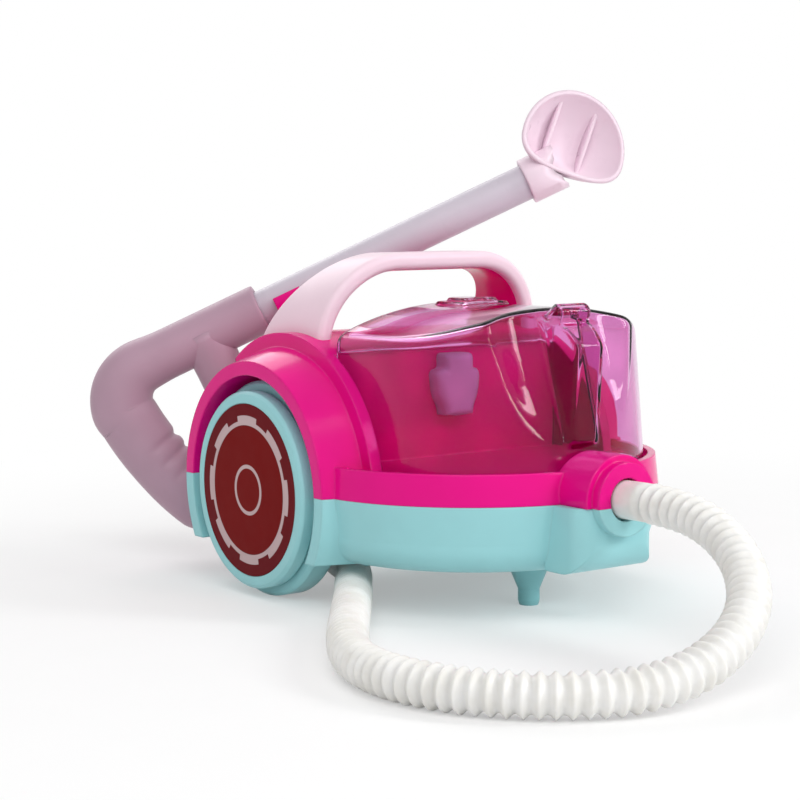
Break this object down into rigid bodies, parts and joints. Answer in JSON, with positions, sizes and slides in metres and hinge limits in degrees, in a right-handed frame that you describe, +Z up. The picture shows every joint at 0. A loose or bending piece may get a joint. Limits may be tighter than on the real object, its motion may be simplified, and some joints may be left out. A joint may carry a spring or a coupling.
{
  "type": "toy vacuum cleaner",
  "caption": "Toy canister vacuum cleaner with big round wheels, a clear lift-off dust cover, an arched carry handle, and a wand with a grip and a scoop nozzle on a ribbed hose.",
  "frame": {"origin": "centre of the flat tip of the front foot, on the floor", "axes": "+Z up; the toy's front with the hose port looks along -Y; X runs along the wheels' axle"},
  "size_m": [0.195, 0.2922, 0.1638],
  "materials": {
    "aqua_plastic": "smooth moulded plastic",
    "magenta_plastic": "glossy moulded plastic",
    "pale_pink_plastic": "smooth moulded plastic",
    "clear_magenta_plastic": "clear tinted moulded plastic",
    "clear_plastic": "clear moulded plastic",
    "white_plastic": "moulded plastic",
    "red_label": "printed film, dark red with a pale notched ring",
    "steel": "plain steel",
    "cell_jacket": "plain battery jacket",
    "dark_plastic": "moulded plastic",
    "mauve_plastic": "smooth moulded plastic",
    "lilac_plastic": "smooth extruded plastic",
    "milky_plastic": "milky flexible corrugated plastic"
  },
  "bodies": {
    "chassis": {"lower_shell": "aqua_plastic", "upper_shell": "magenta_plastic", "carry_handle": "pale_pink_plastic", "handle_liner": "magenta_plastic", "lamp_lens": "clear_plastic", "lamp_led": "white_plastic", "hose_spigot": "white_plastic", "front_foot": "aqua_plastic", "wheel_axle": "steel", "wheel_screws": "steel", "battery_door": "aqua_plastic", "battery_door_screw": "steel", "battery_cells": "cell_jacket", "battery_contacts": "steel", "case_screws": "steel", "motor": "steel", "switch_body": "dark_plastic", "wand_clip": "magenta_plastic", "hose": "milky_plastic"},
    "left_wheel": {"left_wheel": "aqua_plastic", "left_wheel_label": "red_label"},
    "right_wheel": {"right_wheel": "aqua_plastic", "right_wheel_label": "red_label"},
    "dust_cover": {"dust_cover": "clear_magenta_plastic"},
    "fan": {"fan": "white_plastic"},
    "switch_knob": {"switch_knob": "dark_plastic"},
    "wand": {"grip_left_half": "mauve_plastic", "grip_right_half": "mauve_plastic", "grip_screws": "steel", "wand_tube": "lilac_plastic"},
    "nozzle": {"nozzle": "pale_pink_plastic"}
  },
  "joints": [
    {"name": "left_wheel_spin", "type": "hinge", "parent": "chassis", "child": "left_wheel", "pos_m": [-0.0562, 0.0635, 0.0345], "axis": [1, 0, 0], "continuous": true},
    {"name": "right_wheel_spin", "type": "hinge", "parent": "chassis", "child": "right_wheel", "pos_m": [0.0562, 0.0635, 0.0345], "axis": [1, 0, 0], "continuous": true},
    {"name": "dust_cover_lift", "type": "slide", "parent": "chassis", "child": "dust_cover", "axis": [0, 0, 1], "range_m": [0, 0.045]},
    {"name": "fan_spin", "type": "hinge", "parent": "chassis", "child": "fan", "pos_m": [0, 0.052, 0.0591], "axis": [0, 1, 0], "continuous": true},
    {"name": "switch_slide", "type": "slide", "parent": "chassis", "child": "switch_knob", "axis": [1, 0, 0], "range_m": [0, 0.004]},
    {"name": "wand_lift", "type": "slide", "parent": "chassis", "child": "wand", "axis": [-0.3423, 0.2478, 0.9063], "range_m": [0, 0.05]},
    {"name": "nozzle_twist", "type": "hinge", "parent": "wand", "child": "nozzle", "pos_m": [0.06012, 0.06229, 0.13539], "axis": [0.7341, -0.5314, 0.4226], "range_deg": [-90, 90]}
  ]
}
